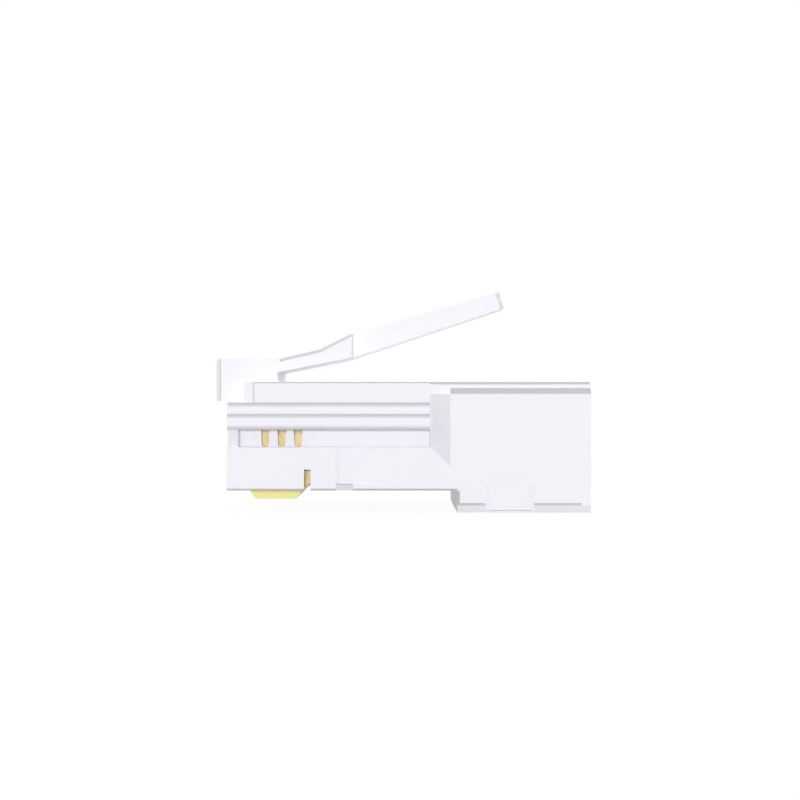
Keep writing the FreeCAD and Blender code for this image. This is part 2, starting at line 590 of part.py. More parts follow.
def is_top_rim(edge, top_line):
    """True for an edge that runs along the top line on either flank of the wide part."""
    if len(edge.Vertexes) != 2:
        return False
    flank = all(abs(abs(v.Y) - ROOT_HALF_WIDTH) < 1e-6 for v in edge.Vertexes)
    along = abs(edge.Vertexes[0].Y - edge.Vertexes[1].Y) < 1e-6
    on_top = all(any(abs(v.X - x) + abs(v.Z - z) < 1e-6 for x, z in top_line) for v in edge.Vertexes)
    return flank and along and on_top


def grip_outline(x_lock, z_lock):
    """Side view of the finger lever, which tapers towards its tip."""
    x_tip, z_tip = x_lock + GRIP_LENGTH, z_lock + GRIP_RISE
    return [(x_lock, z_lock), (x_tip, z_tip), (x_tip + TIP_OVERHANG, z_tip - TIP_THICKNESS),
            (x_lock, z_lock - SHOULDER_DEPTH)]


def finger_lever(x_lock, z_lock):
    """Narrow lever with rounded tip corners and plain grip grooves across its top."""
    outline = grip_outline(x_lock, z_lock)
    lever = prism_xz(outline, -GRIP_HALF_WIDTH, GRIP_HALF_WIDTH)
    tips = [e for e in lever.Edges if is_tip_corner(e, outline[1], outline[2])]
    lever = lever.makeFillet(TIP_RADIUS, tips)
    slope = math.atan2(GRIP_RISE, GRIP_LENGTH)
    half_run = GRIP_HALF_WIDTH - GRIP_GROOVE_INSET
    grooves = []
    for index in range(GRIP_GROOVE_COUNT):
        along = GRIP_GROOVE_START + index * GRIP_GROOVE_PITCH
        groove = Part.makeCylinder(GRIP_GROOVE_WIDTH / 2, 2 * half_run,
                                   Vector(x_lock + along * math.cos(slope),
                                          -half_run, z_lock + along * math.sin(slope)), Vector(0, 1, 0))
        lift = GRIP_GROOVE_WIDTH / 2 - GRIP_GROOVE_DEPTH
        groove.translate(Vector(-lift * math.sin(slope), 0, lift * math.cos(slope)))
        grooves.append(groove)
    return lever.cut(grooves)


def is_tip_corner(edge, tip_top, tip_under):
    """True for the two short edges between the end face and the flanks."""
    if len(edge.Vertexes) != 2:
        return False
    ends = sorted((round(v.X, 6), round(v.Z, 6)) for v in edge.Vertexes)
    wanted = sorted((round(x, 6), round(z, 6)) for x, z in (tip_top, tip_under))
    return ends == wanted


def neck_fillets(x_lock, z_lock):
    """Hollow corners between the locking shoulders and the finger lever."""
    outline = grip_outline(x_lock, z_lock)
    band = prism_xz(outline, -ROOT_HALF_WIDTH, ROOT_HALF_WIDTH)
    y_low, y_high = GRIP_HALF_WIDTH, GRIP_HALF_WIDTH + NECK_RADIUS
    square = block((x_lock, x_lock + NECK_RADIUS), (y_low, y_high), (z_lock - FAR, z_lock + FAR))
    hollow = Part.makeCylinder(NECK_RADIUS, 2 * FAR, Vector(x_lock + NECK_RADIUS, y_high, z_lock - FAR))
    corner = square.cut(hollow)
    return [piece.common(band) for piece in on_both_sides(corner)]


# -------------------------------------------------------------------- contacts
def contact_blade(y):
    """One contact: chamfered nose, retaining ear and three sharpened tines, stamped from sheet."""
    foot_front = (x_blade, z_bottom)
    outline = [(x_blade, z_blade), foot_front, (x_blade + NOSE_RUN_FRONT, z_nose),
               (x_blade_end - NOSE_RUN_REAR, z_nose), (x_blade_end, z_bottom),
               (x_blade_end + EAR_TOE, z_bottom), (x_ear_end, z_bottom + EAR_FOOT),
               (x_ear_end, z_bottom + EAR_RISE), (x_blade_end, z_bottom + EAR_RISE - EAR_LENGTH / 2),
               (x_blade_end, z_blade)]
    for x in reversed(tine_centres()):
        outline += tine_outline(x)
    blade = prism_xz(outline, y - CONTACT_THICKNESS / 2, y + CONTACT_THICKNESS / 2)
    corners = [e for e in blade.Edges if len(e.Vertexes) == 2
               and all(abs(v.Z - z_nose) < 1e-6 for v in e.Vertexes)
               and abs(e.Vertexes[0].X - e.Vertexes[1].X) < 1e-6]
    return blade.makeFillet(NOSE_RADIUS, corners)


def tine_outline(x):
    """Outline of one tine from its rear root to its front root: waisted root, sharpened end."""
    neck, half = TINE_NECK / 2, TINE_WIDTH / 2
    z_waist = z_blade + TINE_NECK_HEIGHT
    z_shoulder = z_blade + TINE_HEIGHT - TINE_POINT
    return [(x + neck, z_blade), (x + half, z_waist), (x + half, z_shoulder), (x, z_blade + TINE_HEIGHT),
            (x - half, z_shoulder), (x - half, z_waist), (x - neck, z_blade)]


# ------------------------------------------------------------------------ write
def main():
    """Build every node and write one STEP file for each."""
    nodes = {"housing": housing(), "latch": latch_lever()}
    for number, y in enumerate(contact_centres(), start=1):
        nodes["contact_%d" % number] = contact_blade(y)
    os.makedirs("parts", exist_ok=True)
    for name, shape in nodes.items():
        solid = shape.Solids[0] if len(shape.Solids) == 1 else shape
        print(name, "solids", len(shape.Solids), "valid", shape.isValid(), "volume", round(shape.Volume, 2))
        solid.exportStep("parts/%s.step" % name)


main()
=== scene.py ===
"""Looks of an eight-way modular plug, built round its packed construction.

The moulded housing, the sprung latch lever and the eight contact blades are dressed
where the construction holds them. Added to them are the living hinge that joins the
lever to its root and the pin marks that the mould leaves on the upper face. All sizes
are in metres in the frame of the construction: the nose points to -X, the cable comes
in from +X, Y runs across the width and Z is up.
"""
import json
import logging
import math
from dataclasses import dataclass
from enum import Enum
from typing import Any, Mapping, Optional, Sequence, Union

import bmesh
import bpy
from mathutils import Matrix, Vector


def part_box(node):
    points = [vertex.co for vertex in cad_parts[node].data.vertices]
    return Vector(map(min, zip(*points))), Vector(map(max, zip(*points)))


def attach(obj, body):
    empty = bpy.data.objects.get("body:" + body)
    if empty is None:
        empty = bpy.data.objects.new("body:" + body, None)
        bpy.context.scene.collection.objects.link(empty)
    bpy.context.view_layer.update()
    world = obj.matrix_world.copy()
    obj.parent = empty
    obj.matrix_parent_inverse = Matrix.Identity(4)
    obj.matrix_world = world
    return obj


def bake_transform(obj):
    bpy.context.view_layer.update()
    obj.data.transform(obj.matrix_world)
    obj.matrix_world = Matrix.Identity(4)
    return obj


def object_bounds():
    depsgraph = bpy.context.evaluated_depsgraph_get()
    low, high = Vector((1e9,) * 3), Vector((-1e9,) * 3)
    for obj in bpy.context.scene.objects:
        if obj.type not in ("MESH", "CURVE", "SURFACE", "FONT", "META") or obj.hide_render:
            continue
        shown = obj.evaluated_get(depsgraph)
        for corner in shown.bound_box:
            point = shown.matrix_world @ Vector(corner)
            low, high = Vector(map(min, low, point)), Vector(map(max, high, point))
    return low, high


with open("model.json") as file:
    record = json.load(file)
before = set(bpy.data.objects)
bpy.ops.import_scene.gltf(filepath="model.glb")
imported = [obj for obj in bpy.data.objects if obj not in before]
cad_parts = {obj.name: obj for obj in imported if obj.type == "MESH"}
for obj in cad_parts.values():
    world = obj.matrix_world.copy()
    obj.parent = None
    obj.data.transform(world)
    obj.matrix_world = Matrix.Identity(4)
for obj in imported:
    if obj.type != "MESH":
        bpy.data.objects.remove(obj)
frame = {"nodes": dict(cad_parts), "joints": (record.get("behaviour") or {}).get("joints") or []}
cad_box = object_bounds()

MM = 0.001
PER_METRE = 1000.0

BLADE_HEIGHT = 3.24         # millimetres from the noses to the blades' top edge, where the tines start
ROOT_RISE = 1.47 * MM       # the latch root stands this far over the upper face
CHANNEL_DEPTH = 1.45        # millimetres from the flank's pads in to just outside the side channel's wall
RAIL_FOOT_DROP = 2.90       # millimetres from the upper face down to the foot of the guide rail
NOSE_DROP = 0.64            # millimetres that the contacts' noses stand below the body

WHITE = (1.0, 1.0, 1.0, 1.0)
NOISE_MIDDLE = 0.5          # a noise swings about this number

# Places of the sockets that a Mix node uses for colours
MIX_SHARE, MIX_FIRST, MIX_SECOND, MIX_RESULT = 0, 6, 7, 2

Colour = tuple[float, float, float]
Number = Union[int, float]

log = logging.getLogger("modular_plug")


# ------------------------------------------------------------------- shader maths
class Signal:
    """A number, colour or vector on its way through a node tree.

    Arithmetic on a number adds the Math nodes that it needs.
    """

    def __init__(self, sheet: "NodeSheet", socket: bpy.types.NodeSocket) -> None:
        """Keep the tree and the output socket that carries the value.

        Args:
            sheet: The tree that the value belongs to.
            socket: The output socket that gives it.
        """
        self.sheet = sheet
        self.socket = socket

    def _math(self, operation: str, first: "Operand", second: "Operand") -> "Signal":
        """One Math node on two operands."""
        return self.sheet.node("ShaderNodeMath", {"operation": operation}, {0: first, 1: second})

    def __add__(self, other: "Operand") -> "Signal":
        """self + other."""
        return self._math("ADD", self, other)

    def __radd__(self, other: "Operand") -> "Signal":
        """other + self."""
        return self._math("ADD", other, self)

    def __sub__(self, other: "Operand") -> "Signal":
        """self - other."""
        return self._math("SUBTRACT", self, other)

    def __rsub__(self, other: "Operand") -> "Signal":
        """other - self."""
        return self._math("SUBTRACT", other, self)

    def __mul__(self, other: "Operand") -> "Signal":
        """self * other."""
        return self._math("MULTIPLY", self, other)

    def __rmul__(self, other: "Operand") -> "Signal":
        """other * self."""
        return self._math("MULTIPLY", other, self)

    def __pow__(self, other: "Operand") -> "Signal":
        """self to the power of other."""
        return self._math("POWER", self, other)

    def magnitude(self) -> "Signal":
        """The number without its sign."""
        return self._math("ABSOLUTE", self, 0.0)

    def not_negative(self) -> "Signal":
        """The number, with anything under zero raised to zero."""
        return self._math("MAXIMUM", self, 0.0)

    def between(self, low: Number, high: Number) -> "Signal":
        """A mask that rises smoothly from 0 at low to 1 at high.

        Args:
            low: Value at which the mask is 0.
            high: Value at which the mask is 1; it may be the smaller of the two.

        Returns:
            The mask, held between 0 and 1.
        """
        return self.sheet.node("ShaderNodeMapRange",
                               {"interpolation_type": "SMOOTHSTEP", "clamp": True},
                               {"Value": self, "From Min": low, "From Max": high})


Operand = Union[Signal, Number]


class NodeSheet:
    """The node tree of a material or a world."""

    def __init__(self, owner: Union[bpy.types.Material, bpy.types.World]) -> None:
        """Empty the owner's tree.

        Args:
            owner: The material or world whose tree is written.
        """
        owner.use_nodes = True
        self.owner = owner
        self.tree = owner.node_tree
        self.tree.nodes.clear()

    def node(self, kind: str, settings: Optional[Mapping[str, Any]] = None,
             values: Optional[Mapping[Union[str, int], Any]] = None,
             outlet: Union[str, int] = 0) -> Signal:
        """Make one node.

        Args:
            kind: Blender's name for the node's type.
            settings: Properties of the node, set first.
            values: Numbers, colours or signals for its inputs, by name or place.
            outlet: The output that is handed back.

        Returns:
            The signal that leaves the outlet.
        """
        made = self.tree.nodes.new(kind)
        for name, setting in (settings or {}).items():
            setattr(made, name, setting)
        for name, value in (values or {}).items():
            socket = made.inputs[name]
            if isinstance(value, Signal):
                self.tree.links.new(value.socket, socket)
            else:
                socket.default_value = value
        return Signal(self, made.outputs[outlet])

    def place(self) -> Signal:
        """The point on the piece, in millimetres of the construction's frame."""
        here = self.node("ShaderNodeTexCoord", outlet="Object")
        return self.vector("SCALE", here, {"Scale": PER_METRE})

    def vector(self, operation: str, first: Signal,
               values: Optional[Mapping[Union[str, int], Any]] = None,
               outlet: Union[str, int] = 0) -> Signal:
        """One Vector Math node.

        Args:
            operation: What it does.
            first: Its first vector.
            values: Its other inputs.
            outlet: 0 for the vector, "Value" for a number.

        Returns:
            The result.
        """
        return self.node("ShaderNodeVectorMath", {"operation": operation},
                         {0: first, **(values or {})}, outlet)

    def along(self, vector: Signal, axis: str) -> Signal:
        """One component, "X", "Y" or "Z", of a vector."""
        return self.node("ShaderNodeSeparateXYZ", values={0: vector}, outlet=axis)

    def noise(self, place: Signal, grain: Sequence[float], detail: float = 2.0) -> Signal:
        """Smooth noise whose lumps have their own size along each axis.

        Args:
            place: Point in millimetres.
            grain: Lumps per millimetre along X, Y and Z.
            detail: Octaves of finer noise.

        Returns:
            A number about 0.5.
        """
        stretched = self.vector("MULTIPLY", place, {1: tuple(grain)})
        return self.node("ShaderNodeTexNoise",
                         values={"Vector": stretched, "Scale": 1.0, "Detail": detail})

    def mix(self, share: Operand, first: Union[Signal, Colour],
            second: Union[Signal, Colour]) -> Signal:
        """Blend two colours.

        Args:
            share: 0 for the first colour, 1 for the second.
            first: A colour or a signal.
            second: A colour or a signal.

        Returns:
            The blended colour.
        """
        ends = [c if isinstance(c, Signal) else (*c, 1.0) for c in (first, second)]
        return self.node("ShaderNodeMix", {"data_type": "RGBA"},
                         {MIX_SHARE: share, MIX_FIRST: ends[0], MIX_SECOND: ends[1]}, MIX_RESULT)

    def finish(self, surface: Signal) -> None:
        """Send a shader to the tree's output."""
        is_world = isinstance(self.owner, bpy.types.World)
        kind = "ShaderNodeOutputWorld" if is_world else "ShaderNodeOutputMaterial"
        way_out = self.tree.nodes.new(kind)
        self.tree.links.new(surface.socket, way_out.inputs["Surface"])


# ----------------------------------------------------------------------- finishes
@dataclass(frozen=True)
class MouldedPlastic:
    """Milky-clear polycarbonate: bright in its broad walls, with painted shade where they slant or end.
    """

    name: str
    warm: Colour = (0.930, 0.920, 0.975)
    cool: Colour = (0.915, 0.925, 0.975)
    # Colour of the painted shade along the edges and in creases, standing in for the dark rims that
    # refraction gives clear plastic.
    edge_shade: Colour = (0.76, 0.76, 0.80)
    cloud_grain: float = 0.22
    cloud_share: float = 0.75
    cloud_range: tuple[float, float] = (0.35, 0.65)
    flow_grain: tuple[float, float, float] = (0.10, 1.6, 1.6)
    flow_detail: float = 3.0
    # These four size the mask of the painted shade along the edges and in creases.
    edge_reach: float = 0.05 * MM
    edge_samples: int = 8
    edge_shade_strength: float = 0.9
    edge_shade_range: tuple[float, float] = (0.02, 0.9)
    # Painted shade on walls that slant back from a flank, and less of it on those that look down.
    slant_shade_depth: float = 0.34
    slant_shade_range: tuple[float, float] = (0.25, 1.0)
    under_shade_depth: float = 0.24
    under_shade_range: tuple[float, float] = (0.0, -0.3)
    # Painted shade on the side channel's wall, and on any sideways wall as deep in and under the guide
    # rail, against the light that bounces about there; a half width of 0 leaves it out.
    channel_shade_half_width: float = 0.0
    channel_shade_top: float = 0.0
    channel_shade_margin: float = 0.10
    channel_shade_depth: float = 0.06
    skin_grain: float = 9.0
    skin_depth: float = 0.0016 * MM
    skin_strength: float = 0.35
    roughness: float = 0.24
    roughness_swing: float = 0.10
    specular: float = 0.12

    def material(self) -> bpy.types.Material:
        """Build the material.

        Returns:
            The material, whose pattern lies in the construction's frame.
        """
        sheet = NodeSheet(bpy.data.materials.new(self.name))
        place = sheet.place()
        rounded = sheet.node("ShaderNodeBevel", {"samples": self.edge_samples},
                             {"Radius": self.edge_reach})
        # The body colour takes painted shade on its slants and in the side channel, then painted shade
        # along the edges and in creases.
        body = self._painted_shade(sheet, place, self._body_colour(sheet, place))
        edge_shade_lines = self._edge_shade_mask(sheet, rounded)
        skin = sheet.noise(place, (self.skin_grain,) * 3)
        relief = sheet.node("ShaderNodeBump", values={"Height": skin,
                                                      "Strength": self.skin_strength,
                                                      "Distance": self.skin_depth})
        flow = sheet.noise(place, self.flow_grain)
        surface = sheet.node("ShaderNodeBsdfPrincipled", values={
            "Base Color": sheet.mix(edge_shade_lines, body, self.edge_shade),
            "Roughness": self.roughness + self.roughness_swing * (flow - NOISE_MIDDLE),
            "Normal": relief,
            "Specular IOR Level": self.specular})
        sheet.finish(surface)
        return sheet.owner

    def _body_colour(self, sheet: NodeSheet, place: Signal) -> Signal:
        """Slow clouds of cooler plastic, drawn out along the flow of the melt.

        Args:
            sheet: The tree.
            place: Point in millimetres.

        Returns:
            The colour away from the edges.
        """
        clouds = sheet.noise(place, (self.cloud_grain,) * 3)
        flow = sheet.noise(place, self.flow_grain, self.flow_detail)
        pattern = self.cloud_share * clouds + (1.0 - self.cloud_share) * flow
        return sheet.mix(pattern.between(*self.cloud_range), self.warm, self.cool)

    def _painted_shade(self, sheet: NodeSheet, place: Signal, body: Signal) -> Signal:
        """Paint shade on the walls that slant back from a flank, and on the side channel's wall.

        The construction's mesh is smooth-shaded, which hides its narrow slants, so painted shade
        in the colour marks them out. Those that look down get less light and less painted shade.
        The side channel's wall, and any other that faces sideways as deep in and under the guide
        rail, takes a little painted shade against the light that bounces about there.

        Args:
            sheet: The tree.
            place: Point in millimetres.
            body: Colour of a wall that needs no darkening.

        Returns:
            The colour on every wall.
        """
        facing = sheet.node("ShaderNodeTexCoord", outlet="Normal")
        across = sheet.along(facing, "Y")
        level = across * across
        slant = 2.0 * (level * (1.0 - level)).not_negative() ** 0.5
        under = sheet.along(facing, "Z").between(*self.under_shade_range)
        local_shade_depth = under * (self.under_shade_depth - self.slant_shade_depth) + self.slant_shade_depth
        left_after_shade = 1.0 - slant.between(*self.slant_shade_range) * local_shade_depth
        # Painted shade on the side channel's wall.
        if self.channel_shade_half_width:
            off_middle = sheet.along(place, "Y").magnitude()
            side, top, margin = self.channel_shade_half_width, self.channel_shade_top, self.channel_shade_margin
            inside = off_middle.between(side + margin, side)
            below = sheet.along(place, "Z").between(top + margin, top)
            channel_shade = inside * below * level
            left_after_shade = left_after_shade * (1.0 - channel_shade * self.channel_shade_depth)
        return sheet.vector("SCALE", body, {"Scale": left_after_shade})

    def _edge_shade_mask(self, sheet: NodeSheet, rounded: Signal) -> Signal:
        """Painted-shade mask: how far the wall turns within the bevel's reach, 0 on a flat, 1 where walls
        meet.

        Args:
            sheet: The tree.
            rounded: Normal averaged over the reach.

        Returns:
            The mask.
        """
        true = sheet.node("ShaderNodeNewGeometry", outlet="Normal")
        facing = sheet.vector("DOT_PRODUCT", rounded, {1: true}, "Value")
        return ((1.0 - facing) * self.edge_shade_strength).between(*self.edge_shade_range)


@dataclass(frozen=True)
class PlatedBronze:
    """Gold over stamped bronze: full on the noses, thick and brightened as painted light over them, thin
    on the tines.
    """

    name: str
    plate_top: float
    flash_top: float
    plate: Colour = (1.00, 0.93, 0.37)
    # Gold between the noses and the tines: thick plating, brightened as painted light for the ears that
    # sit in shaded grooves.
    heavy_gold_and_painted_light: Colour = (1.00, 0.88, 0.45)
    flash: Colour = (0.92, 0.77, 0.41)
    bare: Colour = (0.80, 0.47, 0.20)
    plate_range: tuple[float, float] = (-0.05, 0.10)
    flash_fade: float = 0.25
    streak_grain: tuple[float, float, float] = (7.0, 7.0, 1.1)
    streak_detail: float = 3.0
    streak_lean: float = 0.45
    streak_range: tuple[float, float] = (0.50, 0.72)
    streak_depth: float = 0.006 * MM
    streak_strength: float = 0.5
    wear: float = 0.35
    tine_wear: float = 0.45
    edge_reach: float = 0.04 * MM
    edge_samples: int = 8
    roughness: float = 0.26
    streak_roughness: float = 0.14
    metal: float = 0.15

    def material(self) -> bpy.types.Material:
        """Build the material.

        Returns:
            The material, whose streaks lean back along the blades.
        """
        sheet = NodeSheet(bpy.data.materials.new(self.name))
        place = sheet.place()
        streaks = self._streaks(sheet, place)
        height = sheet.along(place, "Z")
        above = height.between(*(self.plate_top + end for end in self.plate_range))
        thin = height.between(self.flash_top - self.flash_fade, self.flash_top)
        # Below the tines the thick gold carries painted light for the shaded ears.
        gilt = sheet.mix(thin, self.heavy_gold_and_painted_light, self.flash)
        bared = streaks.between(*self.streak_range) * (self.wear + self.tine_wear * thin)
        worn = sheet.mix(bared, gilt, self.bare)
        rounded = sheet.node("ShaderNodeBevel", {"samples": self.edge_samples},
                             {"Radius": self.edge_reach})
        relief = sheet.node("ShaderNodeBump", values={"Height": streaks * above,
                                                      "Strength": self.streak_strength,
                                                      "Distance": self.streak_depth,
                                                      "Normal": rounded})
        surface = sheet.node("ShaderNodeBsdfPrincipled", values={
            "Base Color": sheet.mix(above, self.plate, worn),
            "Metallic": self.metal,
            "Roughness": self.roughness + self.streak_roughness * above * streaks,
            "Normal": relief})
        sheet.finish(surface)
        return sheet.owner

    def _streaks(self, sheet: NodeSheet, place: Signal) -> Signal:
        """Fine shear marks that the stamping tool leaves, leaning along the blade.

        Args:
            sheet: The tree.
            place: Point in millimetres.

        Returns:
            Noise about 0.5, drawn out along the marks.
        """
        leaning = sheet.node("ShaderNodeVectorRotate", {"rotation_type": "Y_AXIS"},
                             {"Vector": place, "Angle": self.streak_lean})
        return sheet.noise(leaning, self.streak_grain, self.streak_detail)


@dataclass(frozen=True)
class PaleFloor:
    """A floor that the camera sees white, apart from the object's soft shadow."""

    name: str = "pale_floor"
    paint: Colour = (0.45, 0.45, 0.45)
    glow: float = 1.12
    glow_share: float = 0.85

    def material(self) -> bpy.types.Material:
        """Build the material.

        Returns:
            Paint for the light, and paint under a white glow for camera and reflections.
        """
        sheet = NodeSheet(bpy.data.materials.new(self.name))
        paint = sheet.node("ShaderNodeBsdfDiffuse", values={"Color": (*self.paint, 1.0)})
        glow = sheet.node("ShaderNodeEmission", values={"Strength": self.glow})
        share = seen(sheet) * self.glow_share
        sheet.finish(sheet.node("ShaderNodeMixShader", values={0: share, 1: paint, 2: glow}))
        return sheet.owner


def seen(sheet: NodeSheet) -> Signal:
    """1 for a ray from the camera, a reflection or a clear piece, 0 for one that gathers light.

    Args:
        sheet: The tree that asks.

    Returns:
        The mask.
    """
    masks = [sheet.node("ShaderNodeLightPath", outlet=kind)
             for kind in ("Is Camera Ray", "Is Glossy Ray", "Is Transmission Ray")]
    total = masks[0] + masks[1] + masks[2]
    return sheet.node("ShaderNodeClamp", values={0: total})


# ------------------------------------------------------------------------- pieces
def dress(piece: bpy.types.Object, material: bpy.types.Material) -> None:
    """Give every material slot of a piece the same material.

    Args:
        piece: A node of the construction, or a new piece.
        material: The finish.
    """
    if not piece.material_slots:
        piece.data.materials.append(material)
    for place in piece.material_slots:
        place.material = material


def add_piece(name: str, mesh: bpy.types.Mesh) -> bpy.types.Object:
    """Put a mesh in the scene as an object at the origin.

    Args:
        name: The piece's name.
        mesh: Its mesh, already in place.

    Returns:
        The object.
    """
    piece = bpy.data.objects.new(name, mesh)
    bpy.context.scene.collection.objects.link(piece)
    return piece


@dataclass
class LivingHinge:
    """The thin bridge of plastic that joins the latch lever to its root."""

    overlap: float = 0.10 * MM
    proud: float = 0.003 * MM
    stations: int = 9

    def build(self, plastic: bpy.types.Material) -> None:
        """Bridge the parting plane between root and lever.

        Args:
            plastic: Finish of the lever.
        """
        joint = frame["joints"][0]
        pivot = Vector(joint["pos_m"])
        lever_low, lever_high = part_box("latch")
        root_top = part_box("housing")[1].z
        half_width = self._half_width()
        x_start, x_end = pivot.x - self.overlap, pivot.x + self.overlap
        mesh = self._bar((x_start, x_end), half_width + self.proud,
                         (pivot.z - self.proud, root_top + self.proud))
        bridge = add_piece("living_hinge", mesh)
        dress(bridge, plastic)
        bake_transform(bridge)
        log.info("living_hinge: %.2f mm wide, lever reaches %.2f mm", 2 * half_width / MM,
                 (lever_high.x - lever_low.x) / MM)

    @staticmethod
    def _half_width() -> float:
        """Half the width of the lever at its hinge."""
        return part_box("latch")[1].y

    def _bar(self, x_range: tuple[float, float], half_width: float,
             z_range: tuple[float, float]) -> bpy.types.Mesh:
        """A closed bar with several rings along X, so that it can bend.

        Args:
            x_range: Its ends.
            half_width: Half its width.
            z_range: Its lower and upper face.

        Returns:
            The mesh.
        """
        shape = bmesh.new()
        corners = [(-half_width, z_range[0]), (half_width, z_range[0]),
                   (half_width, z_range[1]), (-half_width, z_range[1])]
        rings = []
        for index in range(self.stations):
            x = x_range[0] + (x_range[1] - x_range[0]) * index / (self.stations - 1)
            rings.append([shape.verts.new((x, y, z)) for y, z in corners])
        for near, far in zip(rings, rings[1:]):
            for side in range(len(corners)):
                following = (side + 1) % len(corners)
                shape.faces.new((near[side], near[following], far[following], far[side]))
        shape.faces.new(rings[0][::-1])
        shape.faces.new(rings[-1])
        bmesh.ops.recalc_face_normals(shape, faces=shape.faces)
        mesh = bpy.data.meshes.new("living_hinge")
        shape.to_mesh(mesh)
        shape.free()
        return mesh


@dataclass
class PinMarks:
    """Round marks that the mould's ejector pins leave on the housing's upper face."""

    diameter: float = 1.10 * MM
    height: float = 0.012 * MM
    columns: int = 3
    rows: int = 2
    column_pitch: float = 4.6 * MM
    row_pitch: float = 8.2 * MM
    last_setback: float = 1.6 * MM
    facets: int = 32

    def build(self, plastic: bpy.types.Material, face_height: float) -> None:
        """Lay the marks out in rows with a node tree and bake them to a mesh.

        Args:
            plastic: Finish of the housing.
            face_height: Height of the face that they lie on.
        """
        tree = self._tree(plastic)
        carrier = add_piece("pin_marks_maker", bpy.data.meshes.new("pin_marks_maker"))
        maker = carrier.modifiers.new("pin_marks", "NODES")
        maker.node_group = tree
        half_run = (self.columns - 1) * self.column_pitch / 2
        centre_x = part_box("housing")[1].x - self.last_setback - half_run
        values = {"Centre": (centre_x, 0.0, face_height),
                  "Columns": self.columns, "Rows": self.rows,
                  "Column Pitch": self.column_pitch, "Row Pitch": self.row_pitch,
                  "Radius": self.diameter / 2, "Height": self.height, "Facets": self.facets}
        for item in tree.interface.items_tree:
            if item.item_type == "SOCKET" and item.name in values:
                maker[item.identifier] = values[item.name]
        marks = add_piece("pin_marks", baked(carrier, "pin_marks"))
        bpy.data.objects.remove(carrier)
        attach(marks, "housing")
        log.info("pin_marks: %d marks of %.2f mm", self.columns * self.rows, self.diameter / MM)

    @staticmethod
    def _tree(plastic: bpy.types.Material) -> bpy.types.NodeTree:
        """The node tree: a grid of points, one shallow disc on each.

        Args:
            plastic: Finish of the discs.

        Returns:
            The tree, with its sizes as named inputs.
        """
        growth = Growth("pin_marks", {
            "Centre": InputKind.POINT, "Columns": InputKind.COUNT, "Rows": InputKind.COUNT,
            "Column Pitch": InputKind.NUMBER, "Row Pitch": InputKind.NUMBER,
            "Radius": InputKind.NUMBER, "Height": InputKind.NUMBER, "Facets": InputKind.COUNT})
        columns, rows = growth.given("Columns"), growth.given("Rows")
        length = growth.maths("MULTIPLY", growth.given("Column Pitch"),
                              growth.maths("SUBTRACT", columns, 1.0))
        width = growth.maths("MULTIPLY", growth.given("Row Pitch"),
                             growth.maths("SUBTRACT", rows, 1.0))
        grid = growth.node("GeometryNodeMeshGrid", {}, {"Size X": length, "Size Y": width,
                                                        "Vertices X": columns, "Vertices Y": rows})
        moved = growth.node("GeometryNodeTransform", {}, {"Geometry": grid,
                                                          "Translation": growth.given("Centre")})
        disc = growth.node("GeometryNodeMeshCylinder", {"fill_type": "NGON"},
                           {"Vertices": growth.given("Facets"), "Radius": growth.given("Radius"),
                            "Depth": growth.given("Height")})
        spread = growth.node("GeometryNodeInstanceOnPoints", {},
                             {"Points": moved, "Instance": disc})
        growth.finish(spread, plastic)
        return growth.tree


class InputKind(Enum):
    """What an input of a geometry node tree takes, as Blender's name for its socket."""

    NUMBER = "NodeSocketFloat"
    COUNT = "NodeSocketInt"
    POINT = "NodeSocketVector"


class Growth:
    """A geometry node tree with named inputs."""

    def __init__(self, name: str, inputs: Mapping[str, InputKind]) -> None:
        """Start the tree.

        Args:
            name: The tree's name.
            inputs: Name and kind of each input.
        """
        self.tree = bpy.data.node_groups.new(name, "GeometryNodeTree")
        sockets = self.tree.interface
        sockets.new_socket("Geometry", in_out="OUTPUT", socket_type="NodeSocketGeometry")
        for label, kind in inputs.items():
            sockets.new_socket(label, in_out="INPUT", socket_type=kind.value)
        self.entry = self.tree.nodes.new("NodeGroupInput")

    def given(self, label: str) -> bpy.types.NodeSocket:
        """The socket of one named input."""
        return self.entry.outputs[label]

    def node(self, kind: str, settings: Mapping[str, Any],
             values: Mapping[Union[str, int], Any]) -> bpy.types.NodeSocket:
        """Make one node.

        Args:
            kind: Blender's name for the node's type.
            settings: Properties of the node.
            values: Numbers, materials or sockets for its inputs.

        Returns:
            Its first output socket.
        """
        made = self.tree.nodes.new(kind)
        for name, setting in settings.items():
            setattr(made, name, setting)
        for name, value in values.items():
            if isinstance(value, bpy.types.NodeSocket):
                self.tree.links.new(value, made.inputs[name])
            else:
                made.inputs[name].default_value = value
        return made.outputs[0]

    def maths(self, operation: str, first: Any, second: Any) -> bpy.types.NodeSocket:
        """One Math node on two numbers or sockets."""
        return self.node("ShaderNodeMath", {"operation": operation}, {0: first, 1: second})

    def finish(self, geometry: bpy.types.NodeSocket, material: bpy.types.Material) -> None:
        """Turn instances into real faces, give them their material and send them out.

        Args:
            geometry: What the tree made.
            material: Its finish.
        """
        real = self.node("GeometryNodeRealizeInstances", {}, {"Geometry": geometry})
        dressed = self.node("GeometryNodeSetMaterial", {},
                            {"Geometry": real, "Material": material})
        way_out = self.tree.nodes.new("NodeGroupOutput")
        self.tree.links.new(dressed, way_out.inputs["Geometry"])


def baked(carrier: bpy.types.Object, name: str) -> bpy.types.Mesh:
    """The mesh that a carrier's modifiers make.

    Args:
        carrier: Object whose modifiers build the piece.
        name: Name of the new mesh.

    Returns:
        A plain mesh of its own.
    """
    graph = bpy.context.evaluated_depsgraph_get()
    mesh = bpy.data.meshes.new_from_object(carrier.evaluated_get(graph), depsgraph=graph)
    mesh.name = name
    return mesh


